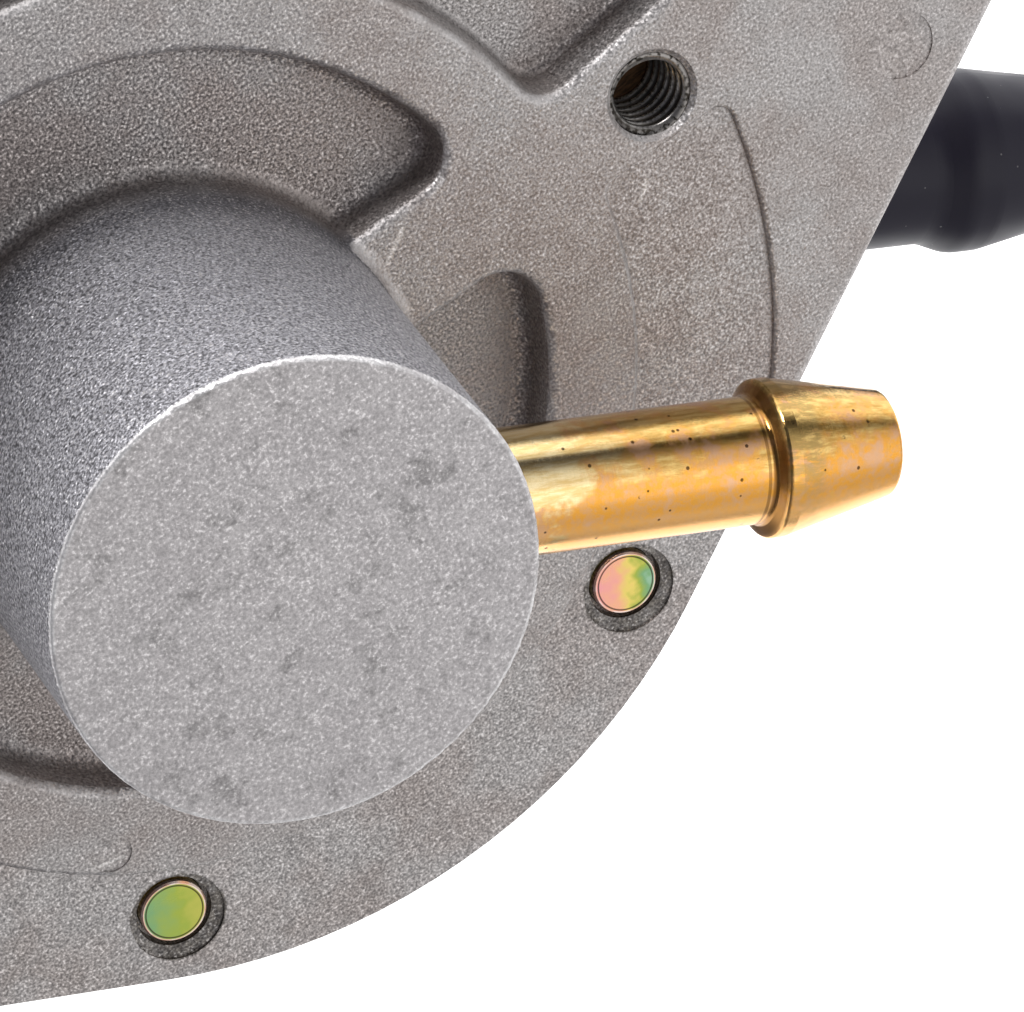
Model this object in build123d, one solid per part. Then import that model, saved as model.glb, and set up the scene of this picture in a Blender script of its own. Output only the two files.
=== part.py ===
"""Diaphragm fuel pump with a pulse chamber: three castings clamped by four screws.

Millimetres. Z is the axis of the front boss, and z = 0 is the flat back of the rear cover.
X runs through the two fixing ears of the front cover. Both fuel nipples point the same way,
at the angle nipple_turn from X, and the pulse nipple points the opposite way.
"""
from build123d import *
from math import copysign, cos, radians, sin, tan
import os

# Stack of castings and sheets along the axis
rear_cover_height = 13.4
rear_gasket_thick = 0.5
diaphragm_thick = 0.6
valve_body_height = 20.0
cover_gasket_thick = 0.5
flange_thick = 7.0

# How far a cut runs past a face, or a boss is sunk into the wall that carries it
past = 1.0

# Front cover
body_radius = 43.0
ear_spacing = 120.0
ear_radius = 10.5
ear_hole_radius = 4.25
ear_pad_drop = 3.0
ear_pad_radius = 12.0
ear_web_half_width = 7.2
ear_web_flare_deg = 6.5
flange_edge_round = 1.0
boss_height = 25.9
boss_top_radius = 16.0
boss_draft_deg = 2.3
boss_roof = 3.4
boss_wall = 3.8
boss_foot_round = 1.2
boss_edge_round = 0.3
hollow_round = 2.0
pocket_depth = 3.8
pocket_draft_deg = 5.0
pocket_floor_round = 0.7
pocket_edge_round = 0.7
crescent_radius = 27.0
crescent_corner = 3.0
spoke_half_width = 4.1
outer_pocket_width = 7.0
outer_pocket_rim = 3.2
outer_pocket_corner = 2.5
screw_spoke_half_width = 5.6
step_inner_radius = 33.7
step_outer_radius = 44.1
step_depth = 0.45
step_spoke_half_width = 3.7
step_corner = 1.2
step_edge_round = 0.35
tapped_hole_radius = 3.0
tapped_hole_edge = 3.35
tapped_hole_chamfer = 0.35
pin_mark_depth = 0.12
pin_marks = [(56.5, -8.2, 2.5), (-20.9, -24.0, 1.5)]

# Clamp screws, M5 from the back
screw_edge = 5.7
screw_angle = 57.6
screw_radius = 2.45
screw_length = 35.0
screw_head_radius = 4.7
screw_head_height = 3.3
screw_head_round = 1.6
screw_end_chamfer = 0.12
screw_below_step = 0.05
cross_slot_width = 1.1
cross_slot_length = 5.2
cross_slot_depth = 1.8
tap_clearance = 0.05
screw_clearance = 0.3
spot_face_radius = 3.48
spot_face_depth = 0.2
spot_face_shift = 0.5
tap_mouth_radius = 2.8
tap_mouth_depth = 1.2
washer_thick = 1.2
washer_outer_radius = 4.6
washer_clearance = 0.15
washer_gap = 0.8
washer_lean_deg = 28.0

# Fuel nipples
nipple_turn = -31.7
tube_radius = 4.35
barb_radius = 5.42
tip_radius = 3.65
nipple_bore = 2.7
wall_to_barb = 19.5
shoulder_length = 0.6
shoulder_round = 0.4
crest_round = 0.25
barb_land = 0.9
barb_length = 9.1
tip_round = 0.4
bore_chamfer = 0.25
outlet_above_flange = 15.4
inlet_below_flange = 13.5
inlet_offset = 8.3
inlet_boss_radius = 5.8
inlet_boss_proud = 1.6
inlet_seat_depth = 8.0

# Dust cap on the inlet nipple
cap_wall = 1.55
cap_barb_wall = 1.43
cap_tip_wall = 1.4
cap_end_wall = 2.4
cap_clearance = 0.05
cap_gap = 1.2
cap_round = 2.2
cap_bulge_round = 3.0
cap_rise = 2.3
cap_lead = 0.9
cap_lag = 1.2
cap_taper = 0.4
cap_tip_room = 0.6

# Valve body
lobe_radius = 6.0
lobed_inset = 6.5
lobed_draft_deg = 1.0
lobe_fillet = 4.0
lower_flange_thick = 5.0
chamber_depth = 4.5
passage_radius = 2.5
core_inner_radius = 11.5
core_wall = 5.5
core_roof = 3.5
core_rib = 3.0
core_corner = 2.5
core_draft_deg = 2.0
sheet_inset = 0.4
edge_round = 0.6

# Valve cartridges, one turned over in the inlet and one upright in the outlet
cartridge_radius = 7.5
seat_thick = 1.5
seat_port_radius = 3.6
seat_lip_width = 1.0
seat_lip_height = 0.3
disc_thick = 1.0
disc_overlap = 0.9
valve_lift = 0.8
valve_spring_closed = 2.3
valve_wire_radius = 0.2
valve_spring_radius = 3.6
valve_spring_turns = 2.5
cage_wall = 0.8
cage_port_radius = 1.5
cage_port_circle = 4.3
inlet_valve_reach = 17.0
outlet_valve_sink = 1.3
port_radius = 4.6
port_over_passage = 0.2

# Diaphragm, its plates and its spring
plate_room = 0.9
plate_thick = 1.0
plate_edge_round = 0.4
convolution_radius = 3.2
convolution_room = 1.1
rivet_radius = 2.5
rivet_head_radius = 4.6
rivet_head_height = 1.2
rivet_head_round = 0.7
spring_radius = 9.0
spring_wire_radius = 0.6
spring_turns = 3.0
spring_ring_height = 1.2
spring_ring_width = 1.4
spring_ring_gap = 0.4

# Rear cover
dome_inset = 12.0
dome_wall = 3.0
dome_edge_round = 2.5
dome_root_round = 2.0
rear_flange_thick = 4.8
rear_floor = 3.5
screw_pad_radius = 6.0
washer_seat_radius = 5.2
pulse_height = 5.2
pulse_tube_radius = 3.0
pulse_barb_radius = 3.8
pulse_tip_radius = 2.6
pulse_bore = 1.6
pulse_wall_to_barb = 12.0
pulse_barb_length = 5.5
pulse_barb_land = 0.7
pulse_boss_radius = 4.9
pulse_boss_proud = 0.6
pulse_seat_depth = 8.0

# Levels worked out from the stack
rear_face = rear_cover_height
diaphragm_low = rear_face + rear_gasket_thick
diaphragm_top = diaphragm_low + diaphragm_thick
valve_body_top = diaphragm_top + valve_body_height
flange_low = valve_body_top + cover_gasket_thick
flange_top = flange_low + flange_thick
step_level = flange_top - step_depth
pocket_level = flange_top - pocket_depth
boss_top = flange_top + boss_height
outlet_level = flange_top + outlet_above_flange
inlet_level = flange_top - inlet_below_flange
chamber_roof = diaphragm_top + chamber_depth
screw_end = step_level - screw_below_step
screw_seat = screw_end - screw_length
screw_pad_level = screw_seat + washer_thick
rear_flange_low = rear_face - rear_flange_thick
valve_spring_height = valve_spring_closed + valve_lift
cartridge_height = (
    seat_thick + seat_lip_height + disc_thick + valve_spring_height + cage_wall
)
outlet_seat_level = valve_body_top - outlet_valve_sink - cartridge_height
inlet_seat_level = chamber_roof + cartridge_height

# Places worked out from the body's radius
inlet_boss_reach = body_radius + inlet_boss_proud
pulse_boss_reach = body_radius + pulse_boss_proud
outer_pocket_radius = body_radius - outer_pocket_rim - outer_pocket_width
lobed_radius = body_radius - lobed_inset
dome_radius = body_radius - dome_inset
chamber_radius = dome_radius - dome_wall
convolution_middle = (
    chamber_radius - convolution_room - convolution_radius - diaphragm_thick / 2
)
plate_radius = convolution_middle - convolution_radius - diaphragm_thick / 2 - plate_room
screw_x = (body_radius - screw_edge) * cos(radians(screw_angle))
screw_y = (body_radius - screw_edge) * sin(radians(screw_angle))
screw_places = [(sx * screw_x, sy * screw_y) for sx in (1, -1) for sy in (1, -1)]
tapped_reach = body_radius - tapped_hole_edge
tapped_places = [(tapped_reach, 0), (-tapped_reach, 0)]
ear_places = [(ear_spacing / 2, 0), (-ear_spacing / 2, 0)]


def prism(sketch, low, high, taper=0):
    """A sketch of the XY plane drawn out from one level to another."""
    return extrude(Pos(0, 0, low) * sketch, high - low, dir=(0, 0, 1), taper=taper)


def round_bar(radius, low, high, places=((0, 0),)):
    """One upright cylinder at each place."""
    bars = [
        Pos(x, y, (low + high) / 2) * Cylinder(radius, high - low) for x, y in places
    ]
    return Part() + bars


def edges_at(solid, level):
    """The edges that lie flat at one level."""
    return solid.edges().filter_by_position(Axis.Z, level - 1e-4, level + 1e-4)


def along_nipples(solid, level, offset=0, turn=nipple_turn):
    """Turn a solid that lies along X towards the nipples and lift it to its level."""
    return Pos(0, 0, level) * Rot(0, 0, turn) * Pos(0, offset, 0) * solid


def lying_bar(radius, start, end):
    """A cylinder along X between two distances from the boss axis."""
    return Pos((start + end) / 2, 0, 0) * Rot(0, 90, 0) * Cylinder(radius, end - start)


def ear_outline(inset=0):
    """The round flange with straight tangents to its two ears."""
    rounds = Sketch() + Circle(body_radius - inset)
    for x, y in ear_places:
        rounds += Pos(x, y) * Circle(ear_radius - inset)
    return make_hull(rounds.edges())


def crescent_sketch(side):
    """Half a ring round the boss, with its ends square to the ear spokes."""
    half = Pos(0, side * (spoke_half_width + crescent_radius)) * Rectangle(
        3 * crescent_radius, 2 * crescent_radius
    )
    ring = (Circle(crescent_radius) & half) - Circle(boss_top_radius)
    ends = [v for v in ring.vertices() if abs(v.X) > boss_top_radius + 1]
    return fillet(ends, crescent_corner)


def ear_web():
    """The web from the body to one ear, which widens on its way out."""
    reach = ear_spacing / 2
    narrow = ear_web_half_width - reach * tan(radians(ear_web_flare_deg))
    points = [
        (0, narrow), (reach, ear_web_half_width), (reach, -ear_web_half_width), (0, -narrow),
    ]
    return make_face(Polyline(*points, close=True))


def outer_pocket_sketch():
    """The three pockets between the spokes on the inlet half of the flange."""
    upper = Pos(0, body_radius) * Rectangle(3 * ear_spacing, 2 * body_radius)
    field = ear_outline(outer_pocket_rim) & upper
    field -= Circle(outer_pocket_radius)
    field -= ear_web()
    field -= Rot(0, 0, 180) * ear_web()
    for x, y in screw_places:
        if y > 0:
            lean = Vector(x, y).get_angle(Vector(1, 0))
            spoke = Pos(body_radius / 2, 0) * Rectangle(
                2 * body_radius, 2 * screw_spoke_half_width
            )
            field -= Rot(0, 0, lean) * (spoke & Pos(body_radius, 0) * Rectangle(
                2 * body_radius, 2 * body_radius
            ))
    for x, y in ear_places:
        field -= Pos(x, y) * Circle(ear_pad_radius)
    return fillet(field.vertices(), outer_pocket_corner)


def pocket(sketch):
    """A drafted recess cut from the flange's face down to the pocket floor."""
    return extrude(
        Pos(0, 0, flange_top) * sketch, pocket_depth, dir=(0, 0, -1), taper=pocket_draft_deg
    )


def tapered_boss(low, high, top_radius, shrink=0):
    """A drafted round boss that has its top radius at the boss top."""
    slope = tan(radians(boss_draft_deg))
    low_radius = top_radius + (boss_top - low) * slope - shrink
    high_radius = top_radius + (boss_top - high) * slope - shrink
    return Pos(0, 0, (low + high) / 2) * Cone(low_radius, high_radius, high - low)


def pocketed_flange():
    """The flange with its ears and pockets, each rim rounded as cast."""
    flange = prism(ear_outline(), flange_low, flange_top)
    flange = fillet(edges_at(flange, flange_top), flange_edge_round)
    ear_pad_top = (flange_low + flange_top) / 2
    flange += round_bar(ear_radius, flange_low - ear_pad_drop, ear_pad_top, ear_places)
    for side in (1, -1):
        flange -= pocket(crescent_sketch(side))
    flange -= pocket(outer_pocket_sketch())
    face = flange.faces().sort_by(Axis.Z)[-1]
    rims = [edge for wire in face.inner_wires() for edge in wire.edges()]
    return fillet(rims, pocket_edge_round)


def middle_radius(edge):
    """How far the middle of an edge lies from the boss axis."""
    middle = edge.position_at(0.5)
    return Vector(middle.X, middle.Y).length


def in_crescent(edge):
    """Whether the middle of an edge lies within the crescent pockets' outer wall."""
    return middle_radius(edge) <= crescent_radius


def round_pocket_floors(cover):
    """Blend the boss into the flange and the crescent pockets, then the outer pockets."""
    boss_side = max(cover.faces().filter_by(GeomType.CONE), key=lambda face: face.area)
    foot = [
        edge for edge in boss_side.edges()
        if pocket_level + 1e-3 < edge.center().Z < outlet_level - tube_radius
    ]
    foot += edges_at(cover, pocket_level).filter_by(in_crescent)
    cover = fillet(foot, boss_foot_round)
    corners = edges_at(cover, pocket_level).filter_by(in_crescent, reverse=True)
    return fillet(corners, pocket_floor_round)


def stepped(cover):
    """Sink the rim of the outlet half a little, with the edge above it rounded off."""
    lower = Pos(0, -step_spoke_half_width - ear_spacing) * Rectangle(
        2 * ear_spacing, 2 * ear_spacing
    )
    step = (Circle(step_outer_radius) - Circle(step_inner_radius)) & lower
    step = fillet(step.vertices(), step_corner)
    cover -= prism(step, step_level, flange_top + past)
    wall = [
        edge for edge in edges_at(cover, flange_top)
        if edge.position_at(0.5).Y < -step_spoke_half_width + 1e-3
        and step_inner_radius - 1e-3 < middle_radius(edge) < step_outer_radius + 1e-3
    ]
    return fillet(wall, step_edge_round)


def front_cover():
    cover = pocketed_flange() + tapered_boss(flange_low, boss_top, boss_top_radius)
    cover = round_pocket_floors(cover)
    cover = fillet(edges_at(cover, boss_top), boss_edge_round)
    cover = stepped(cover)
    hollow = tapered_boss(
        flange_low, boss_top - boss_roof, boss_top_radius, boss_wall
    )
    hollow_roof = hollow.edges().sort_by(Axis.Z)[-1]
    cover -= fillet(hollow_roof, hollow_round)
    cover -= along_nipples(lying_bar(tube_radius, 0, 2 * boss_top_radius), outlet_level)
    cover -= round_bar(screw_radius + tap_clearance, flange_low, flange_top, screw_places)
    for x, y in screw_places:
        face = step_level if y < 0 else flange_top
        off_centre = (x, y + copysign(spot_face_shift, y))
        cover -= round_bar(spot_face_radius, face - spot_face_depth, boss_top, [off_centre])
        cover -= round_bar(tap_mouth_radius, face - tap_mouth_depth, boss_top, [(x, y)])
    cover -= round_bar(tapped_hole_radius, flange_low, flange_top, tapped_places)
    for x, y in tapped_places:
        cover -= Pos(x, y, flange_top - tapped_hole_chamfer / 2) * Cone(
            tapped_hole_radius, tapped_hole_radius + tapped_hole_chamfer, tapped_hole_chamfer
        )
    cover -= round_bar(ear_hole_radius, 0, flange_top, ear_places)
    for x, y, radius in pin_marks:
        cover -= round_bar(radius, flange_top - pin_mark_depth, flange_top + past, [(x, y)])
    return cover


def turned_edge(solid, x, radius):
    """The round edge of a solid turned about X at one distance and radius."""
    return solid.edges().filter_by(
        lambda e: abs(e.center().X - x) < 1e-3 and abs(e.radius - radius) < 1e-3
    )


def nipple(start, wall, to_barb, tube, barb, tip, bore, length, land):
    """A turned barbed nipple along X: inner end at start, leaving its wall at wall."""
    top = wall + to_barb
    end = top + length
    scale = tube / tube_radius
    shoulder = shoulder_length * scale
    points = [
        (start, bore),
        (start, tube - bore_chamfer),
        (start + bore_chamfer, tube),
        (top - shoulder, tube),
        (top, barb),
        (top + land, barb),
        (end, tip),
        (end, bore + bore_chamfer),
        (end - bore_chamfer, bore),
    ]
    turned = revolve(make_face(Polyline(*points, close=True)), Axis.X)
    turned = fillet(turned_edge(turned, top - shoulder, tube), shoulder_round * scale)
    turned = fillet(turned_edge(turned, top, barb), crest_round * scale)
    return fillet(turned_edge(turned, end, tip), tip_round * scale)


def outlet_nipple():
    slope = tan(radians(boss_draft_deg))
    wall = boss_top_radius + (boss_top - outlet_level) * slope
    piece = nipple(
        wall - boss_wall, wall, wall_to_barb, tube_radius, barb_radius, tip_radius,
        nipple_bore, barb_length, barb_land,
    )
    return along_nipples(piece, outlet_level)


def inlet_nipple():
    piece = nipple(
        inlet_boss_reach - inlet_seat_depth, inlet_boss_reach, wall_to_barb, tube_radius,
        barb_radius, tip_radius, nipple_bore, barb_length, barb_land,
    )
    return along_nipples(piece, inlet_level, inlet_offset)


def pulse_nipple():
    piece = nipple(
        pulse_boss_reach - pulse_seat_depth, pulse_boss_reach, pulse_wall_to_barb,
        pulse_tube_radius, pulse_barb_radius, pulse_tip_radius, pulse_bore,
        pulse_barb_length, pulse_barb_land,
    )
    return along_nipples(piece, pulse_height, 0, nipple_turn + 180)


def inlet_cap():
    """A dipped vinyl cap stretched over the inlet nipple."""
    start = inlet_boss_reach + cap_gap
    top = inlet_boss_reach + wall_to_barb
    end = top + barb_length
    inner = cap_clearance
    points = [
        (start, tube_radius + inner),
        (start, tube_radius + cap_wall),
        (top - cap_lead - cap_rise, tube_radius + cap_wall),
        (top - cap_lead, barb_radius + cap_barb_wall),
        (top + cap_lag, barb_radius + cap_barb_wall),
        (end, tip_radius + cap_tip_wall + cap_taper),
        (end + cap_end_wall, tip_radius + cap_tip_wall),
        (end + cap_end_wall, 0),
        (end + inner, 0),
        (end + inner, tip_radius + cap_tip_room),
        (top + barb_land, barb_radius + 3 * inner),
        (top - inner, barb_radius + 3 * inner),
        (top - shoulder_length - shoulder_round / 2, tube_radius + inner),
    ]
    cap = revolve(make_face(Polyline(*points, close=True)), Axis.X)
    bends = turned_edge(cap, top - cap_lead - cap_rise, tube_radius + cap_wall)
    bends += turned_edge(cap, top - cap_lead, barb_radius + cap_barb_wall)
    bends += turned_edge(cap, top + cap_lag, barb_radius + cap_barb_wall)
    cap = fillet(bends, cap_bulge_round)
    nose = turned_edge(cap, end + cap_end_wall, tip_radius + cap_tip_wall)
    return along_nipples(fillet(nose, cap_round), inlet_level, inlet_offset)


def lobed_sketch(inset=0):
    """Round core with a lobe at each clamp screw and under each tapped hole."""
    outline = Sketch() + Circle(lobed_radius - inset)
    for x, y in screw_places + tapped_places:
        outline += Pos(x, y) * Circle(lobe_radius - inset)
    outline = fillet(outline.vertices(), lobe_fillet)
    return outline & Circle(body_radius - inset)


def core_sketch():
    """Two hollows, either side of a rib, that thin the half away from the inlet passage."""
    ring = Circle(lobed_radius - core_wall) - Circle(core_inner_radius)
    half = Pos(-2 * body_radius - core_rib / 2, 0) * Rectangle(4 * body_radius, 4 * body_radius)
    ring &= half
    ring -= Rectangle(4 * body_radius, core_rib)
    return Rot(0, 0, nipple_turn) * fillet(ring.vertices(), core_corner)


def valve_body():
    body = prism(Circle(body_radius), diaphragm_top, diaphragm_top + lower_flange_thick)
    body = fillet(edges_at(body, diaphragm_top + lower_flange_thick), edge_round)
    body += extrude(
        Pos(0, 0, diaphragm_top) * lobed_sketch(), valve_body_height, taper=lobed_draft_deg
    )
    body += along_nipples(
        lying_bar(inlet_boss_radius, inlet_valve_reach, inlet_boss_reach),
        inlet_level, inlet_offset,
    )
    body -= round_bar(chamber_radius, diaphragm_top, chamber_roof)
    body -= along_nipples(
        lying_bar(tube_radius, inlet_boss_reach - inlet_seat_depth, inlet_boss_reach),
        inlet_level, inlet_offset,
    )
    body -= along_nipples(
        lying_bar(passage_radius, inlet_valve_reach, inlet_boss_reach),
        inlet_level, inlet_offset,
    )
    upright = Rot(0, 0, nipple_turn)
    inlet_bore = round_bar(cartridge_radius, chamber_roof, inlet_seat_level)
    port_top = inlet_level + passage_radius + port_over_passage
    inlet_bore += round_bar(port_radius, inlet_seat_level, port_top)
    body -= upright * Pos(inlet_valve_reach, inlet_offset, 0) * inlet_bore
    body -= round_bar(cartridge_radius, outlet_seat_level, valve_body_top)
    body -= round_bar(port_radius, chamber_roof, outlet_seat_level)
    body -= extrude(
        Pos(0, 0, valve_body_top) * core_sketch(), valve_body_top - chamber_roof - core_roof,
        dir=(0, 0, -1), taper=core_draft_deg,
    )
    body -= round_bar(
        screw_radius + screw_clearance, diaphragm_top, valve_body_top, screw_places
    )
    return body


def cover_gasket():
    sheet = prism(lobed_sketch(sheet_inset), valve_body_top, flange_low)
    slope = tan(radians(boss_draft_deg))
    hollow = boss_top_radius + (boss_top - flange_low) * slope - boss_wall
    sheet -= round_bar(hollow, valve_body_top, flange_low)
    sheet -= round_bar(
        screw_radius + screw_clearance, valve_body_top, flange_low, screw_places
    )
    return sheet


def rear_gasket():
    ring = round_bar(body_radius - sheet_inset, rear_face, diaphragm_low)
    ring -= round_bar(chamber_radius, rear_face, diaphragm_low)
    ring -= round_bar(screw_radius + screw_clearance, rear_face, diaphragm_low, screw_places)
    return ring


def diaphragm():
    """Rubbered fabric disc with one moulded convolution that hangs into the pulse side."""
    half = diaphragm_thick / 2
    middle = diaphragm_low + half
    bend = Pos(convolution_middle, middle) * (
        Circle(convolution_radius + half) - Circle(convolution_radius - half)
    )
    bend &= Pos(convolution_middle, middle - convolution_radius) * Rectangle(
        4 * convolution_radius, 2 * convolution_radius
    )
    inner_end = convolution_middle - convolution_radius + half
    outer_start = convolution_middle + convolution_radius - half
    inner = Pos((rivet_radius + inner_end) / 2, middle) * Rectangle(
        inner_end - rivet_radius, diaphragm_thick
    )
    rim_end = body_radius - sheet_inset
    outer = Pos((outer_start + rim_end) / 2, middle) * Rectangle(
        rim_end - outer_start, diaphragm_thick
    )
    section = Plane.XZ * (inner + bend + outer)
    disc = revolve(section, Axis.Z)
    return disc - round_bar(
        screw_radius + screw_clearance, diaphragm_low, diaphragm_top, screw_places
    )


def plate(face, way):
    """A pressed steel disc on one side of the diaphragm."""
    far = face + way * plate_thick
    disc = round_bar(plate_radius, min(face, far), max(face, far))
    disc = fillet(edges_at(disc, far), plate_edge_round)
    return disc - round_bar(rivet_radius, min(face, far), max(face, far))


def diaphragm_rivet():
    low = diaphragm_low - plate_thick
    top = diaphragm_top + plate_thick
    shank = round_bar(rivet_radius, low, top)
    for face, far in ((low, low - rivet_head_height), (top, top + rivet_head_height)):
        head = round_bar(rivet_head_radius, min(face, far), max(face, far))
        shank += fillet(edges_at(head, far), rivet_head_round)
    return shank


def coil(radius, wire, low, high, turns):
    """A compression spring whose wire touches both levels."""
    rise = high - low - 2 * wire
    path = Pos(0, 0, low + wire) * Helix(rise / turns, rise, radius)
    section = Plane(path @ 0, z_dir=path % 0) * Circle(wire)
    return sweep(section, path, is_frenet=True)


def diaphragm_spring():
    return coil(
        spring_radius, spring_wire_radius, rear_floor, diaphragm_low - plate_thick, spring_turns
    )


def valve_seat():
    """Turned seat ring with a raised lip, standing on its local zero."""
    lip = seat_port_radius + seat_lip_width
    seat = round_bar(cartridge_radius, 0, seat_thick)
    seat += round_bar(lip, 0, seat_thick + seat_lip_height)
    return seat - round_bar(seat_port_radius, 0, seat_thick + seat_lip_height)


def valve_disc():
    low = seat_thick + seat_lip_height
    radius = seat_port_radius + seat_lip_width + disc_overlap
    return round_bar(radius, low, low + disc_thick)


def valve_spring():
    low = seat_thick + seat_lip_height + disc_thick
    return coil(
        valve_spring_radius, valve_wire_radius, low, low + valve_spring_height,
        valve_spring_turns,
    )


def valve_cage():
    """Pressed cup over the disc, with ports in its roof."""
    cage = round_bar(cartridge_radius, seat_thick, cartridge_height)
    cage -= round_bar(cartridge_radius - cage_wall, seat_thick, cartridge_height - cage_wall)
    ports = PolarLocations(cage_port_circle, 6)
    cage -= [
        place * Pos(0, 0, cartridge_height) * Cylinder(cage_port_radius, 3 * cage_wall)
        for place in ports
    ]
    return cage


def in_outlet(piece):
    return Pos(0, 0, outlet_seat_level) * piece


def in_inlet(piece):
    turned = Rot(0, 0, nipple_turn) * Pos(inlet_valve_reach, inlet_offset, inlet_seat_level)
    return turned * Rot(180, 0, 0) * piece


def rear_cover():
    cover = round_bar(body_radius, rear_flange_low, rear_face)
    cover = fillet(edges_at(cover, rear_flange_low), flange_edge_round)
    dome = round_bar(dome_radius, 0, rear_flange_low + past)
    dome = fillet(edges_at(dome, 0), dome_edge_round)
    cover += dome
    root = edges_at(cover, rear_flange_low).filter_by(
        lambda e: abs(e.radius - dome_radius) < 1e-3
    )
    cover = fillet(root, dome_root_round)
    pad_low = min(screw_pad_level, rear_flange_low)
    cover += round_bar(screw_pad_radius, pad_low, rear_flange_low + past, screw_places)
    opposite = nipple_turn + 180
    cover += along_nipples(
        lying_bar(pulse_boss_radius, chamber_radius, pulse_boss_reach),
        pulse_height, 0, opposite,
    )
    cover -= round_bar(chamber_radius, rear_floor, rear_face)
    ring_outer = spring_radius - spring_wire_radius - spring_ring_gap
    ring = round_bar(ring_outer, rear_floor - past, rear_floor + spring_ring_height)
    ring -= round_bar(ring_outer - spring_ring_width, rear_floor - past, rear_face)
    cover += ring
    cover -= along_nipples(
        lying_bar(pulse_tube_radius, pulse_boss_reach - pulse_seat_depth, pulse_boss_reach),
        pulse_height, 0, opposite,
    )
    cover -= along_nipples(
        lying_bar(pulse_bore, chamber_radius - past, pulse_boss_reach), pulse_height, 0, opposite
    )
    cover -= round_bar(washer_seat_radius, 0, screw_pad_level, screw_places)
    cover -= round_bar(screw_radius + screw_clearance, 0, rear_face, screw_places)
    return cover


def clamp_screw():
    """Pan head screw with a cross slot, its head at the back."""
    shank = round_bar(screw_radius, screw_seat, screw_end)
    shank = chamfer(edges_at(shank, screw_end), screw_end_chamfer)
    low = screw_seat - screw_head_height
    head = round_bar(screw_head_radius, low, screw_seat)
    head = fillet(edges_at(head, low), screw_head_round)
    slot = Box(cross_slot_length, cross_slot_width, 2 * cross_slot_depth)
    slot += Box(cross_slot_width, cross_slot_length, 2 * cross_slot_depth)
    return shank + (head - Pos(0, 0, low) * slot)


def spring_washer():
    ring = round_bar(washer_outer_radius, screw_seat, screw_pad_level)
    ring -= round_bar(screw_radius + washer_clearance, screw_seat, screw_pad_level)
    split = Pos(washer_outer_radius, 0, screw_seat) * Rot(washer_lean_deg, 0, 0) * Box(
        2 * washer_outer_radius, washer_gap, 6 * washer_thick
    )
    return ring - split


def at_screws(piece):
    return Compound([(Pos(x, y, 0) * piece).solid() for x, y in screw_places])


pieces = {
    "front_cover": front_cover(),
    "outlet_nipple": outlet_nipple(),
    "cover_gasket": cover_gasket(),
    "valve_body": valve_body(),
    "inlet_nipple": inlet_nipple(),
    "inlet_cap": inlet_cap(),
    "inlet_valve_seat": in_inlet(valve_seat()),
    "inlet_valve_disc": in_inlet(valve_disc()),
    "inlet_valve_spring": in_inlet(valve_spring()),
    "inlet_valve_cage": in_inlet(valve_cage()),
    "outlet_valve_seat": in_outlet(valve_seat()),
    "outlet_valve_disc": in_outlet(valve_disc()),
    "outlet_valve_spring": in_outlet(valve_spring()),
    "outlet_valve_cage": in_outlet(valve_cage()),
    "diaphragm": diaphragm(),
    "fuel_side_plate": plate(diaphragm_top, 1),
    "pulse_side_plate": plate(diaphragm_low, -1),
    "diaphragm_rivet": diaphragm_rivet(),
    "diaphragm_spring": diaphragm_spring(),
    "rear_gasket": rear_gasket(),
    "rear_cover": rear_cover(),
    "pulse_nipple": pulse_nipple(),
    "clamp_screws": at_screws(clamp_screw()),
    "spring_washers": at_screws(spring_washer()),
}

os.makedirs("parts", exist_ok=True)
for node, piece in pieces.items():
    export_step(piece, f"parts/{node}.step")
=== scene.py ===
"""The looks of a cast diaphragm fuel pump: its finishes, its threads, the light and the camera."""
from math import cos, pi, radians, sin

import bmesh
import bpy
from mathutils import Matrix, Vector


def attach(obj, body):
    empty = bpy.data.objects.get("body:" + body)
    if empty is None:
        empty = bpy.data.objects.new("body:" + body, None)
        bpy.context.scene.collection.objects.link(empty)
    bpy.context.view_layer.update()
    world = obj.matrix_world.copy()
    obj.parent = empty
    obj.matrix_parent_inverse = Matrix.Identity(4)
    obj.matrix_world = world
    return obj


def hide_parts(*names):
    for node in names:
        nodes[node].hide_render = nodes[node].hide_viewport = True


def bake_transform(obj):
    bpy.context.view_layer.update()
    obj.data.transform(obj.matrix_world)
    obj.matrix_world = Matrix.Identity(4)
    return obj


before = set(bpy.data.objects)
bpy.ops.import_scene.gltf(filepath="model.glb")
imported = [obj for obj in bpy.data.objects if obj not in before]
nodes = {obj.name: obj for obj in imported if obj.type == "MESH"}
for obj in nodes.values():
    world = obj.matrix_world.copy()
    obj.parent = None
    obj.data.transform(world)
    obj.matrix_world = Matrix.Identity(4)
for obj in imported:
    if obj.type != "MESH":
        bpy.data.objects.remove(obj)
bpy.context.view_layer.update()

scene = bpy.context.scene
MM = 0.001

# Sizes of the pump in millimetres, as its solids have them
FLANGE_TOP = 42.0
STEP_LEVEL = 41.55
FLANGE_LOW = 35.0
BOSS_TOP = 67.9
TOP_SKIN = (BOSS_TOP - 0.3, BOSS_TOP - 0.15)
BOSS_TOP_RADIUS = 16.0
NIPPLE_TURN = radians(-31.7)
OUTLET_LEVEL = 57.4
OUTLET_WALL = 16.4
INLET_LEVEL = 28.5
INLET_OFFSET = 8.3
INLET_WALL = 44.6
PULSE_LEVEL = 5.2
PULSE_WALL = 43.6
WALL_TO_BARB = 19.5
SCREW_X = 19.99
SCREW_Y = 31.49
SPOT_SHIFT = 0.5
SPOT_RADIUS = 3.48
TAPPED_REACH = 39.65
TAPPED_RADIUS = 3.0
THREAD_PITCH = 1.0
THREAD_DEPTH = 0.54
TAPPED_CHAMFER = 0.36

WEDGES = 16
WELD = 1e-6              # metres
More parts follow.
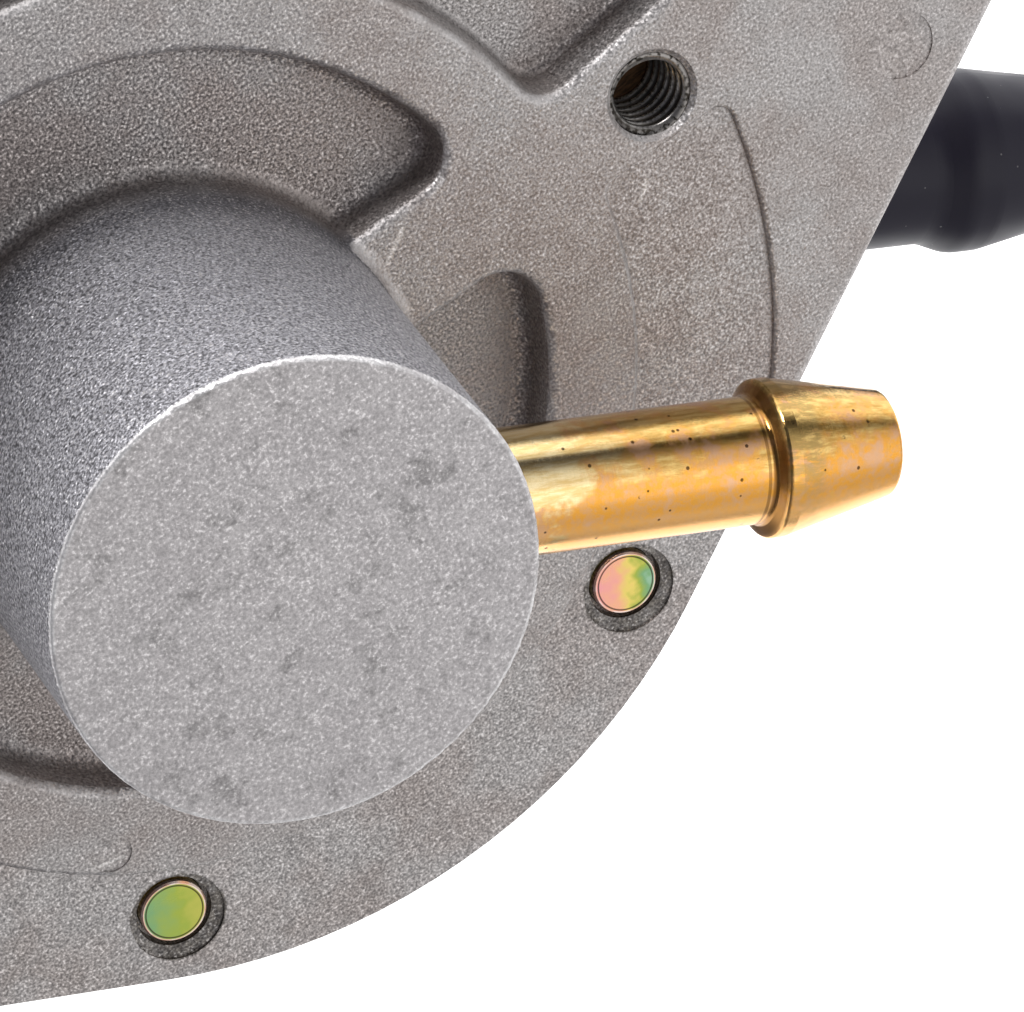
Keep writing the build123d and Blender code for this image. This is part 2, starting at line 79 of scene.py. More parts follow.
# For Map Range, whose inputs 1 to 4 are From Min, From Max, To Min and To Max
SMOOTH = {"interpolation_type": "SMOOTHSTEP"}


def linear(code):
    """A hex sRGB colour as the linear colour that a socket takes."""
    parts = [int(code[i : i + 2], 16) / 255 for i in (1, 3, 5)]
    return tuple(c / 12.92 if c <= 0.04045 else ((c + 0.055) / 1.055) ** 2.4 for c in parts) + (1,)


def add(tree, kind, inputs=None, out=0, **settings):
    """Add a node with its settings and its inputs, values or sockets, and return one output."""
    node = tree.nodes.new("ShaderNode" + kind)
    for name, value in settings.items():
        setattr(node, name, value)
    for key, value in (inputs or {}).items():
        if isinstance(value, bpy.types.NodeSocket):
            tree.links.new(value, node.inputs[key])
        else:
            node.inputs[key].default_value = value
    return node.outputs[out]


def new_material(name):
    """A material with an empty node tree, and that tree."""
    material = bpy.data.materials.new(name)
    material.use_nodes = True
    material.node_tree.nodes.clear()
    return material, material.node_tree


def close(tree, colour, **inputs):
    """End a material with its surface shader. An underscore in an input's name is a space."""
    sockets = {name.replace("_", " "): value for name, value in inputs.items()}
    surface = add(tree, "BsdfPrincipled", {"Base Color": colour, **sockets})
    output = tree.nodes.new("ShaderNodeOutputMaterial")
    tree.links.new(surface, output.inputs["Surface"])


def place_in_mm(tree):
    """Where a point of the piece lies, in millimetres of the pump's frame."""
    place = add(tree, "TexCoord", out="Object")
    return add(tree, "VectorMath", {0: place, "Scale": 1 / MM}, operation="SCALE")


def times(tree, *shares):
    """The product of several shares."""
    product = shares[0]
    for share in shares[1:]:
        product = add(tree, "Math", {0: product, 1: share}, operation="MULTIPLY")
    return product


def band(tree, value, low, high, soft):
    """A share that is 1 between two levels and fades to 0 outside them."""
    rise = add(tree, "MapRange", {"Value": value, 1: low - soft, 2: low}, **SMOOTH)
    fall = add(tree, "MapRange", {
        "Value": value, 1: high, 2: high + soft, 3: 1.0, 4: 0.0,
    }, **SMOOTH)
    return times(tree, rise, fall)


def from_axis(tree, place, x=0.0, y=0.0):
    """How far a point lies from an upright axis."""
    shifted = add(tree, "VectorMath", {0: place, 1: (-x, -y, 0)}, operation="ADD")
    flat = add(tree, "VectorMath", {0: shifted, 1: (1, 1, 0)}, operation="MULTIPLY")
    return add(tree, "VectorMath", {0: flat}, operation="LENGTH", out="Value")


def grit(tree, place, size, tilt):
    """Blasted grain: soft dimples of one size in millimetres, as a shade and as a leaned normal."""
    dimples = add(tree, "TexNoise", {
        "Vector": place, "Scale": 1 / size, "Detail": 1.5, "Roughness": 0.6,
    }, out="Color")
    shade = add(tree, "SeparateColor", {"Color": dimples}, out="Red")
    lean = add(tree, "VectorMath", {0: dimples, 1: (0.5, 0.5, 0.5)}, operation="SUBTRACT")
    lean = add(tree, "VectorMath", {0: lean, "Scale": tilt}, operation="SCALE")
    face = add(tree, "NewGeometry", out="Normal")
    leant = add(tree, "VectorMath", {0: face, 1: lean}, operation="ADD")
    normal = add(tree, "VectorMath", {0: leant}, operation="NORMALIZE")
    return shade, normal


def stroke(tree, place, start, end, width):
    """A share that is 1 along a short straight scratch on a face that looks up."""
    run = Vector(end) - Vector(start)
    way = run.normalized()
    side = Vector((-way.y, way.x))
    middle = (Vector(start) + Vector(end)) / 2
    shifted = add(tree, "VectorMath", {0: place, 1: (-middle.x, -middle.y, 0)}, operation="ADD")
    along = add(tree, "VectorMath", {
        0: shifted, 1: (*way, 0),
    }, operation="DOT_PRODUCT", out="Value")
    across = add(tree, "VectorMath", {
        0: shifted, 1: (*side, 0),
    }, operation="DOT_PRODUCT", out="Value")
    half = run.length / 2
    return times(
        tree, band(tree, along, -half, half, 0.2),
        band(tree, across, -width / 4, width / 4, width / 2),
    )


def blasted_aluminium(name, front=False):
    """Pressure die cast aluminium, tumbled and bead blasted.

    To the eye: warm mid grey with pinkish clouds, a soft fine grain with painted glints, a smoother
    and bluer skin on the drafted boss with painted shade at its foot, bright worn rims with painted
    highlights, painted shade round the boss and on the spot faces, and a few dark stains and pits.
    """
    grain_size = 0.2
    coarse = 0.18
    painted_glint_share = 0.2
    material, tree = new_material(name)
    place = place_in_mm(tree)
    height = add(tree, "SeparateXYZ", {"Vector": place}, out="Z")
    facing = add(tree, "SeparateXYZ", {"Vector": add(tree, "NewGeometry", out="Normal")}, out="Z")
    tilt = 1.5
    if front:
        tilt = add(tree, "MapRange", {
            "Value": height, 1: TOP_SKIN[0], 2: TOP_SKIN[1], 3: 1.5, 4: 0.75,
        }, **SMOOTH)
    shade, normal = grit(tree, place, grain_size, tilt)
    cloud = add(tree, "TexNoise", {
        "Vector": place, "Scale": 1 / 9.0, "Detail": 3.0, "Roughness": 0.6,
    }, out="Fac")
    stain = add(tree, "TexNoise", {
        "Vector": place, "Scale": 1 / 3.2, "Detail": 4.0, "Roughness": 0.65,
    }, out="Fac")
    colour = add(tree, "MixRGB", {
        "Fac": add(tree, "MapRange", {"Value": cloud, 1: 0.38, 2: 0.62}, **SMOOTH),
        "Color1": linear("#a8a09d"), "Color2": linear("#b0acab"),
    })
    colour = add(tree, "MixRGB", {
        "Fac": add(tree, "MapRange", {"Value": stain, 1: 0.60, 2: 0.78, 3: 0.0, 4: 0.35}, **SMOOTH),
        "Color1": colour, "Color2": linear("#857b76"),
    })
    depth = add(tree, "MapRange", {"Value": shade, 1: 0.28, 2: 0.72, 3: -1.0, 4: 1.0}, **SMOOTH)
    if front:
        reach = from_axis(tree, place)
        boss = band(tree, reach, 14.0, 17.6, 0.4)
        pocketed = times(
            tree,
            add(tree, "MapRange", {
                "Value": height, 1: FLANGE_TOP - 0.2, 2: FLANGE_TOP - 1.0,
            }, **SMOOTH),
            add(tree, "MapRange", {"Value": height, 1: 30.0, 2: 36.0}, **SMOOTH),
        )
        # Painted shade: the flange is painted darker towards the boss
        colour = add(tree, "MixRGB", {
            "Fac": add(tree, "MapRange", {
                "Value": reach, 1: 38.0, 2: 22.0, 3: 0.0, 4: 0.15,
            }, **SMOOTH),
            "Color1": colour, "Color2": linear("#8d8482"),
        })
        # The drafted side is bluer, with painted shade: dark at the foot and painted lighter
        # towards the top
        upright = add(tree, "MapRange", {"Value": facing, 1: 0.6, 2: 0.3}, **SMOOTH)
        side = times(
            tree, boss, upright,
            add(tree, "MapRange", {"Value": height, 1: 38.0, 2: 43.0}, **SMOOTH),
        )
        skin = add(tree, "MixRGB", {
            "Fac": add(tree, "MapRange", {"Value": height, 1: 41.0, 2: 48.0}, **SMOOTH),
            "Color1": linear("#6f6e73"), "Color2": linear("#a3a2a7"),
        })
        colour = add(tree, "MixRGB", {"Fac": side, "Color1": colour, "Color2": skin})
        # The top is smoother and plain grey, with smudges
        top = add(tree, "MapRange", {"Value": height, 1: TOP_SKIN[0], 2: TOP_SKIN[1]}, **SMOOTH)
        smudge = add(tree, "TexNoise", {
            "Vector": place, "Scale": 1 / 2.4, "Detail": 5.0, "Roughness": 0.7,
        }, out="Fac")
        plain = add(tree, "MixRGB", {
            "Fac": add(tree, "MapRange", {
                "Value": smudge, 1: 0.54, 2: 0.66, 3: 0.0, 4: 0.6,
            }, **SMOOTH),
            "Color1": linear("#bcb8b9"), "Color2": linear("#858282"),
        })
        colour = add(tree, "MixRGB", {"Fac": top, "Color1": colour, "Color2": plain})
        # Painted shade: the spot faces milled round the screws are painted dark, with an edge that
        # wanders
        near = add(tree, "VectorMath", {0: place}, operation="ABSOLUTE")
        ring = from_axis(tree, near, SCREW_X, SCREW_Y + SPOT_SHIFT)
        wander = add(tree, "Math", {0: stain, 1: 0.9, 2: -0.45}, operation="MULTIPLY_ADD")
        ring = add(tree, "Math", {0: ring, 1: wander}, operation="ADD")
        swirl = add(tree, "TexNoise", {
            "Vector": place, "Scale": 1 / 0.5, "Detail": 2.0, "Roughness": 0.6,
        }, out="Fac")
        milled = times(
            tree,
            add(tree, "MapRange", {
                "Value": ring, 1: SPOT_RADIUS + 0.15, 2: SPOT_RADIUS - 0.05,
            }, **SMOOTH),
            add(tree, "MapRange", {
                "Value": height, 1: STEP_LEVEL - 0.6, 2: STEP_LEVEL - 0.3,
            }, **SMOOTH),
        )
        dark = add(tree, "MixRGB", {
            "Fac": add(tree, "MapRange", {"Value": swirl, 1: 0.35, 2: 0.65}, **SMOOTH),
            "Color1": linear("#55504d"), "Color2": linear("#767069"),
        })
        colour = add(tree, "MixRGB", {
            "Fac": times(tree, milled, 0.95), "Color1": colour, "Color2": dark,
        })
        # The grain stands out on the side and in the pockets, and hardly on the top
        for share, contrast in ((times(tree, boss, upright), 0.62), (pocketed, 0.36), (top, 0.11)):
            coarse = add(tree, "Mix", {0: share, 2: coarse, 3: contrast}, data_type="FLOAT")
        # Painted glints show more strongly on the boss side
        painted_glint_share = add(tree, "MapRange", {"Value": side, 1: 0.0, 2: 1.0, 3: 0.2, 4: 0.9}, **SMOOTH)
        # Rims that others wore in the tumbler, painted bright as wear and as painted highlights
        rubbed_and_painted_highlight = times(
            tree, band(tree, facing, 0.45, 0.93, 0.12),
            add(tree, "MapRange", {"Value": height, 1: 41.0, 2: 41.3}, **SMOOTH),
            add(tree, "MapRange", {"Value": stain, 1: 0.42, 2: 0.55, 3: 0.35, 4: 1.0}, **SMOOTH),
        )
        # The boss top's worn rim, painted bright as wear and as a painted highlight
        rim = times(
            tree,
            add(tree, "MapRange", {
                "Value": reach, 1: BOSS_TOP_RADIUS - 0.4, 2: BOSS_TOP_RADIUS - 0.2,
            }, **SMOOTH),
            add(tree, "MapRange", {
                "Value": height, 1: BOSS_TOP - 0.35, 2: BOSS_TOP - 0.2,
            }, **SMOOTH),
            add(tree, "MapRange", {"Value": stain, 1: 0.40, 2: 0.55, 3: 0.25, 4: 1.0}, **SMOOTH),
        )
        colour = add(tree, "MixRGB", {
            "Fac": times(tree, rubbed_and_painted_highlight, 0.5), "Color1": colour, "Color2": linear("#d9d6d6"),
        })
        colour = add(tree, "MixRGB", {
            "Fac": times(tree, rim, 0.55), "Color1": colour, "Color2": linear("#e8e7e8"),
        })
        for start, end, width in (
            ((18.2, 1.4), (20.4, 2.9), 0.35),
            ((35.2, -6.5), (36.4, -5.4), 0.30),
            ((-22.6, -24.2), (-20.3, -24.9), 0.22),
        ):
            mark = stroke(tree, place, start, end, width)
            colour = add(tree, "MixRGB", {
                "Fac": times(tree, mark, 0.6), "Color1": colour, "Color2": linear("#e6e2e0"),
            })
    grain = add(tree, "Math", {0: times(tree, depth, coarse), 1: 1.0}, operation="ADD")
    grey = add(tree, "CombineXYZ", {"X": grain, "Y": grain, "Z": grain})
    colour = add(tree, "MixRGB", {
        "Fac": 1.0, "Color1": colour, "Color2": grey,
    }, blend_type="MULTIPLY")
    # Painted glints: the brightest dimples are painted near white, and they are also made smoother
    glint = add(tree, "MapRange", {"Value": shade, 1: 0.60, 2: 0.70}, **SMOOTH)
    colour = add(tree, "MixRGB", {
        "Fac": times(tree, glint, painted_glint_share), "Color1": colour, "Color2": linear("#f0eeee"),
    })
    roughness = add(tree, "MapRange", {"Value": glint, 1: 0.0, 2: 1.0, 3: 0.60, 4: 0.40}, **SMOOTH)
    close(tree, colour, Metallic=1.0, Roughness=roughness, Normal=normal)
    return material


def turned_brass(name, level, offset, wall, turn=NIPPLE_TURN):
    """Drawn brass rod, turned to its barb and left bright.

    To the eye: pale gold next to the pump, going over to orange tarnish with a mottled edge and
    dull pinkish patches, with painted light on its sides, very fine turning rings, painted brown
    shade before the barb, painted shade in the bore, dark pits.
    """
    ring_pitch = 0.12
    bore_edge = 3.0
    material, tree = new_material(name)
    place = place_in_mm(tree)
    along = add(tree, "Mapping", {"Vector": place, "Rotation": (0, 0, -turn)}, vector_type="POINT")
    along = add(tree, "VectorMath", {0: along, 1: (0, -offset, -level)}, operation="ADD")
    reach = add(tree, "SeparateXYZ", {"Vector": along}, out="X")
    cross = add(tree, "VectorMath", {0: along, 1: (0, 1, 1)}, operation="MULTIPLY")
    radius = add(tree, "VectorMath", {0: cross}, operation="LENGTH", out="Value")
    rings = add(tree, "TexNoise", {
        "W": times(tree, reach, 1 / ring_pitch), "Detail": 2.0,
    }, out="Fac", noise_dimensions="1D")
    start = add(tree, "Math", {0: reach, 1: wall}, operation="SUBTRACT")
    drawn = add(tree, "VectorMath", {0: along, 1: (0.2, 1.0, 1.0)}, operation="MULTIPLY")
    streak = add(tree, "TexNoise", {
        "Vector": drawn, "Scale": 1 / 0.5, "Detail": 4.0, "Roughness": 0.7,
    }, out="Fac")
    patch = add(tree, "TexNoise", {
        "Vector": along, "Scale": 1 / 2.2, "Detail": 3.0, "Roughness": 0.6,
    }, out="Fac")
    mottle = add(tree, "TexNoise", {
        "Vector": along, "Scale": 1 / 0.6, "Detail": 4.0, "Roughness": 0.75,
    }, out="Fac")
    sideways = add(tree, "SeparateXYZ", {"Vector": along}, out="Y")
    # Tarnish grows outwards and on the upper side, in patches with a mottled edge
    spread = add(tree, "Math", {
        0: patch,
        1: times(tree, add(tree, "MapRange", {"Value": start, 1: 1.5, 2: 6.0}, **SMOOTH), 0.26),
    }, operation="ADD")
    spread = add(tree, "Math", {0: spread, 1: times(tree, mottle, 0.25)}, operation="ADD")
    # Painted light: tarnish is held back towards one side, which paints that side paler
    spread = add(tree, "Math", {
        0: spread,
        1: add(tree, "MapRange", {"Value": sideways, 1: 0.2, 2: 2.8, 3: 0.0, 4: -0.26}, **SMOOTH),
    }, operation="ADD")
    tarnish = add(tree, "MapRange", {"Value": spread, 1: 0.56, 2: 0.78}, **SMOOTH)
    streaked = add(tree, "MapRange", {"Value": streak, 1: 0.35, 2: 0.65}, **SMOOTH)
    pale = add(tree, "MixRGB", {
        "Fac": streaked, "Color1": linear("#f0dcae"), "Color2": linear("#dcbd80"),
    })
    deeper = add(tree, "MixRGB", {
        "Fac": streaked, "Color1": linear("#dfba70"), "Color2": linear("#b98d45"),
    })
    colour = add(tree, "MixRGB", {
        "Fac": add(tree, "MapRange", {"Value": start, 1: 2.0, 2: 12.0, 3: 0.0, 4: 0.9}, **SMOOTH),
        "Color1": pale, "Color2": deeper,
    })
    tarnish_colour_and_painted_light = add(tree, "MixRGB", {
        "Fac": add(tree, "MapRange", {"Value": mottle, 1: 0.42, 2: 0.58}, **SMOOTH),
        "Color1": linear("#e09f42"), "Color2": linear("#d6a062"),
    })
    tarnish_colour_and_painted_light = add(tree, "MixRGB", {
        "Fac": add(tree, "MapRange", {"Value": patch, 1: 0.54, 2: 0.68, 3: 0.0, 4: 0.75}, **SMOOTH),
        "Color1": tarnish_colour_and_painted_light, "Color2": linear("#cda486"),
    })
    # Painted light: the tarnish is painted a lighter orange towards one side
    tarnish_colour_and_painted_light = add(tree, "MixRGB", {
        "Fac": add(tree, "MapRange", {
            "Value": sideways, 1: -0.4, 2: -2.6, 3: 0.0, 4: 0.8,
        }, **SMOOTH),
        "Color1": tarnish_colour_and_painted_light, "Color2": linear("#ffc67e"),
    })
    colour = add(tree, "MixRGB", {"Fac": tarnish, "Color1": colour, "Color2": tarnish_colour_and_painted_light})
    # The barb's cone is stale in streaks and painted darker towards one side as painted shade;
    # painted shade in brown at its foot and in a crease before it
    stale_and_painted_shade = times(
        tree, band(tree, start, WALL_TO_BARB - 0.1, WALL_TO_BARB + 2.2, 0.8),
        add(tree, "MapRange", {"Value": streak, 1: 0.36, 2: 0.56}, **SMOOTH),
        add(tree, "MapRange", {"Value": sideways, 1: -1.0, 2: 2.0, 3: 0.25, 4: 0.8}, **SMOOTH),
    )
    colour = add(tree, "MixRGB", {"Fac": stale_and_painted_shade, "Color1": colour, "Color2": linear("#a98f5a")})
    # Painted shade in brown on the shoulder at the barb's foot
    shoulder_painted_shade = band(tree, start, WALL_TO_BARB - 0.75, WALL_TO_BARB - 0.2, 0.15)
    colour = add(tree, "MixRGB", {
        "Fac": times(tree, shoulder_painted_shade, 0.7), "Color1": colour, "Color2": linear("#8a5a26"),
    })
    # Painted shade: a dark line in the crease before the shoulder
    crease_painted_shade = band(tree, start, WALL_TO_BARB - 1.15, WALL_TO_BARB - 1.0, 0.08)
    colour = add(tree, "MixRGB", {
        "Fac": times(tree, crease_painted_shade, 0.6), "Color1": colour, "Color2": linear("#6d4a20"),
    })
    # Painted shade darkens the bore, and a few pits show in patches
    inside = add(tree, "MapRange", {"Value": radius, 1: bore_edge, 2: bore_edge - 0.4}, **SMOOTH)
    colour = add(tree, "MixRGB", {"Fac": inside, "Color1": colour, "Color2": linear("#4a3013")})
    pits = add(tree, "TexVoronoi", {
        "Vector": along, "Scale": 1 / 1.3, "Randomness": 1.0,
    }, out="Distance")
    dark = times(
        tree, add(tree, "MapRange", {"Value": pits, 1: 0.12, 2: 0.08}, **SMOOTH),
        add(tree, "MapRange", {"Value": patch, 1: 0.45, 2: 0.50}, **SMOOTH),
    )
    colour = add(tree, "MixRGB", {
        "Fac": times(tree, dark, 0.85), "Color1": colour, "Color2": linear("#3c2813"),
    })
    bump = add(tree, "Bump", {
        "Strength": 0.2, "Distance": 0.02 * MM, "Height": rings,
    }, out="Normal")
    roughness = add(tree, "MapRange", {
        "Value": spread, 1: 0.60, 2: 0.85, 3: 0.10, 4: 0.24,
    }, **SMOOTH)
    close(tree, colour, Metallic=1.0, Roughness=roughness, Normal=bump)
    return material


def dipped_vinyl(name):
    """Soft PVC, dip moulded over a mandrel.

    To the eye: glossy blue black with a skin that waves a little, soft wide highlights and a few
    pale dust specks.
    """
    material, tree = new_material(name)
    place = place_in_mm(tree)
    waves = add(tree, "TexNoise", {"Vector": place, "Scale": 1 / 4.0, "Detail": 1.0}, out="Fac")
    dust = add(tree, "TexVoronoi", {
        "Vector": place, "Scale": 1 / 1.1, "Randomness": 1.0,
    }, out="Distance")
    speck = add(tree, "MapRange", {"Value": dust, 1: 0.09, 2: 0.05}, **SMOOTH)
    colour = add(tree, "MixRGB", {
        "Fac": times(tree, speck, 0.5), "Color1": linear("#292732"), "Color2": linear("#8c8a8c"),
    })
    bump = add(tree, "Bump", {
        "Strength": 0.5, "Distance": 0.15 * MM, "Height": waves,
    }, out="Normal")
    roughness = add(tree, "MapRange", {"Value": waves, 1: 0.3, 2: 0.7, 3: 0.30, 4: 0.42}, **SMOOTH)
    close(tree, colour, Roughness=roughness, Normal=bump, IOR=1.53, Specular_IOR_Level=0.14)
    return material


def pressed_fibre(name):
    """Compressed fibre gasket sheet.

    To the eye: dull brown with short pale and dark fibres.
    """
    material, tree = new_material(name)
    place = place_in_mm(tree)
    stretched = add(tree, "VectorMath", {0: place, 1: (1.0, 4.0, 1.0)}, operation="MULTIPLY")
    fibre = add(tree, "TexNoise", {
        "Vector": stretched, "Scale": 1 / 0.8, "Detail": 4.0, "Roughness": 0.7,
    }, out="Fac")
    colour = add(tree, "MixRGB", {
        "Fac": add(tree, "MapRange", {"Value": fibre, 1: 0.35, 2: 0.65}, **SMOOTH),
        "Color1": linear("#4a3524"), "Color2": linear("#7b5a3c"),
    })
    bump = add(tree, "Bump", {
        "Strength": 0.4, "Distance": 0.05 * MM, "Height": fibre,
    }, out="Normal")
    close(tree, colour, Roughness=0.85, Normal=bump)
    return material


def moulded_rubber(name):
    """Fuel proof nitrile rubber, compression moulded.

    To the eye: near black, matt, with a faint bloom.
    """
    material, tree = new_material(name)
    place = place_in_mm(tree)
    bloom = add(tree, "TexNoise", {"Vector": place, "Scale": 1 / 2.0, "Detail": 3.0}, out="Fac")
    colour = add(tree, "MixRGB", {
        "Fac": add(tree, "MapRange", {"Value": bloom, 1: 0.4, 2: 0.7}, **SMOOTH),
        "Color1": linear("#1c1b1b"), "Color2": linear("#333130"),
    })
    bump = add(tree, "Bump", {
        "Strength": 0.3, "Distance": 0.03 * MM, "Height": bloom,
    }, out="Normal")
    close(tree, colour, Roughness=0.62, Normal=bump)
    return material


def rubbered_fabric(name):
    """Nylon cloth coated with nitrile rubber.

    To the eye: dark grey with the weave showing through the coat as a fine check.
    """
    yarn_pitch = 0.45
    material, tree = new_material(name)
    wave = {"Vector": place_in_mm(tree), "Scale": 1 / (pi * yarn_pitch), "Distortion": 0.4}
    warp = add(tree, "TexWave", wave, out="Fac", bands_direction="X")
    weft = add(tree, "TexWave", wave, out="Fac", bands_direction="Y")
    weave = times(tree, warp, weft)
    colour = add(tree, "MixRGB", {
        "Fac": weave, "Color1": linear("#222124"), "Color2": linear("#3d3b3e"),
    })
    bump = add(tree, "Bump", {
        "Strength": 0.5, "Distance": 0.06 * MM, "Height": weave,
    }, out="Normal")
    close(tree, colour, Roughness=0.7, Normal=bump)
    return material


def drawn_spring_wire(name):
    """Hard drawn spring steel.

    To the eye: cool grey, with draw marks and a slight straw tinge.
    """
    material, tree = new_material(name)
    place = place_in_mm(tree)
    marks = add(tree, "TexNoise", {"Vector": place, "Scale": 1 / 0.5, "Detail": 4.0}, out="Fac")
    colour = add(tree, "MixRGB", {
        "Fac": add(tree, "MapRange", {"Value": marks, 1: 0.4, 2: 0.65}, **SMOOTH),
        "Color1": linear("#8f9092"), "Color2": linear("#a79d8c"),
    })
    roughness = add(tree, "MapRange", {"Value": marks, 1: 0.3, 2: 0.7, 3: 0.24, 4: 0.40}, **SMOOTH)
    close(tree, colour, Metallic=1.0, Roughness=roughness)
    return material


def plated_steel(name):
    """Pressed steel sheet with bright zinc plate.

    To the eye: pale grey with a fine spangle and soft stains.
    """
    material, tree = new_material(name)
    place = place_in_mm(tree)
    spangle = add(tree, "TexVoronoi", {"Vector": place, "Scale": 1 / 0.9}, out="Color")
    cell = add(tree, "SeparateColor", {"Color": spangle}, out="Red")
    colour = add(tree, "MixRGB", {
        "Fac": cell, "Color1": linear("#a9a9a6"), "Color2": linear("#bcbab4"),
    })
    roughness = add(tree, "MapRange", {"Value": cell, 1: 0.0, 2: 1.0, 3: 0.26, 4: 0.42}, **SMOOTH)
    close(tree, colour, Metallic=1.0, Roughness=roughness)
    return material


def yellow_zinc(name):
    """Steel with zinc plate and yellow chromate passivation.

    To the eye: pale gold that drifts to pink, green and blue like oil on water. On the sheared
    screw ends it runs across the disc, inside a dark groove of painted shade and a bright pinkish
    rim of painted highlight.
    """
    material, tree = new_material(name)
    place = place_in_mm(tree)
    drift = add(tree, "TexNoise", {"Vector": place, "Scale": 1 / 6.0, "Detail": 2.0}, out="Fac")
    across = add(tree, "VectorMath", {
        0: place, 1: (0.81, -0.47, 0.0),
    }, operation="DOT_PRODUCT", out="Value")
    side = add(tree, "SeparateXYZ", {"Vector": place}, out="X")
    height = add(tree, "SeparateXYZ", {"Vector": place}, out="Z")
    near = add(tree, "VectorMath", {0: place}, operation="ABSOLUTE")
    radius = from_axis(tree, near, SCREW_X, SCREW_Y)
    # The film runs through every hue on the right screws, and stays near green on the left ones
    swirl = add(tree, "TexNoise", {
        "Vector": place, "Scale": 1 / 1.6, "Detail": 2.0, "Roughness": 0.6,
    }, out="Fac")
    warped = add(tree, "Math", {0: across, 1: times(tree, swirl, 3.2)}, operation="ADD")
    right = add(tree, "MapRange", {"Value": warped, 1: 30.2, 2: 36.2}, **SMOOTH)
    left = add(tree, "MapRange", {"Value": warped, 1: -3.2, 2: 2.2, 3: 0.84, 4: 0.56}, **SMOOTH)
    hue = add(tree, "Mix", {
        0: add(tree, "MapRange", {"Value": side, 1: -1.0, 2: 1.0}, **SMOOTH), 2: left, 3: right,
    }, data_type="FLOAT")
    film = tree.nodes.new("ShaderNodeValToRGB")
    stops = (
        (0.0, "#f0a2a4"), (0.2, "#f2b48e"), (0.44, "#e8d172"),
        (0.62, "#a5b451"), (0.8, "#81ac7c"), (1.0, "#bcdccf"),
    )
    for position, code in stops[2:]:
        film.color_ramp.elements.new(position)
    for element, (position, code) in zip(film.color_ramp.elements, stops):
        element.position = position
        element.color = linear(code)
    tree.links.new(hue, film.inputs["Fac"])
    plain = add(tree, "MixRGB", {
        "Fac": add(tree, "MapRange", {"Value": drift, 1: 0.35, 2: 0.65}, **SMOOTH),
        "Color1": linear("#b79a52"), "Color2": linear("#a8a36a"),
    })
    end = add(tree, "MapRange", {
        "Value": height, 1: STEP_LEVEL - 0.5, 2: STEP_LEVEL - 0.4,
    }, **SMOOTH)
    colour = add(tree, "MixRGB", {"Fac": end, "Color1": plain, "Color2": film.outputs["Color"]})
    groove_radii, rim_radii = (2.08, 2.15), (2.22, 2.26)
    # Painted shade: a dark ring inside the screw end's rim
    groove = times(tree, band(tree, radius, *groove_radii, 0.05), end)
    colour = add(tree, "MixRGB", {
        "Fac": times(tree, groove, 0.85), "Color1": colour, "Color2": linear("#3a3226"),
    })
    # Painted highlight: a bright pinkish rim round the screw end
    rim = times(
        tree, add(tree, "MapRange", {"Value": radius, 1: rim_radii[0], 2: rim_radii[1]}, **SMOOTH),
        end,
    )
    painted_highlight_tint = add(tree, "MixRGB", {
        "Fac": add(tree, "MapRange", {"Value": swirl, 1: 0.4, 2: 0.6}, **SMOOTH),
        "Color1": linear("#fbe6de"), "Color2": linear("#f0bda8"),
    })
    colour = add(tree, "MixRGB", {"Fac": times(tree, rim, 0.9), "Color1": colour, "Color2": painted_highlight_tint})
    roughness = add(tree, "MapRange", {"Value": drift, 1: 0.3, 2: 0.7, 3: 0.22, 4: 0.34}, **SMOOTH)
    close(tree, colour, Metallic=1.0, Roughness=roughness)
    return material


def tapped_aluminium(name):
    """The cut thread in the casting.

    To the eye: brighter, smoother metal on the crests as a painted highlight, and painted shade in
    the roots.
    """
    material, tree = new_material(name)
    place = place_in_mm(tree)
    near = add(tree, "VectorMath", {0: place}, operation="ABSOLUTE")
    radius = from_axis(tree, near, TAPPED_REACH, 0.0)
    chatter = add(tree, "TexNoise", {"Vector": place, "Scale": 1 / 0.35, "Detail": 3.0}, out="Fac")
    # Painted highlight on the crests and painted shade in the roots
    crest = times(
        tree,
        add(tree, "MapRange", {
            "Value": radius, 1: TAPPED_RADIUS - 0.3, 2: TAPPED_RADIUS - THREAD_DEPTH,
        }, **SMOOTH),
        add(tree, "MapRange", {"Value": chatter, 1: 0.36, 2: 0.52, 3: 0.35, 4: 1.0}, **SMOOTH),
    )
    colour = add(tree, "MixRGB", {
        "Fac": crest, "Color1": linear("#383430"), "Color2": linear("#dcd8d4"),
    })
    colour = add(tree, "MixRGB", {
        "Fac": add(tree, "MapRange", {"Value": chatter, 1: 0.5, 2: 0.7, 3: 0.0, 4: 0.6}, **SMOOTH),
        "Color1": colour, "Color2": linear("#4b4640"),
    })
    height = add(tree, "SeparateXYZ", {"Vector": place}, out="Z")
    # Nearer the mouth the painted shade gives way to lighter grey
    mouth = times(
        tree,
        add(tree, "MapRange", {
            "Value": height, 1: FLANGE_TOP - 0.8, 2: FLANGE_TOP - 0.5,
        }, **SMOOTH),
        add(tree, "MapRange", {"Value": chatter, 1: 0.40, 2: 0.55}, **SMOOTH),
    )
    colour = add(tree, "MixRGB", {"Fac": mouth, "Color1": colour, "Color2": linear("#8d8986")})
    close(tree, colour, Metallic=1.0, Roughness=0.34)
    return material


def put(name, data):
    """A new object in the scene."""
    item = bpy.data.objects.new(name, data)
    scene.collection.objects.link(item)
    return item


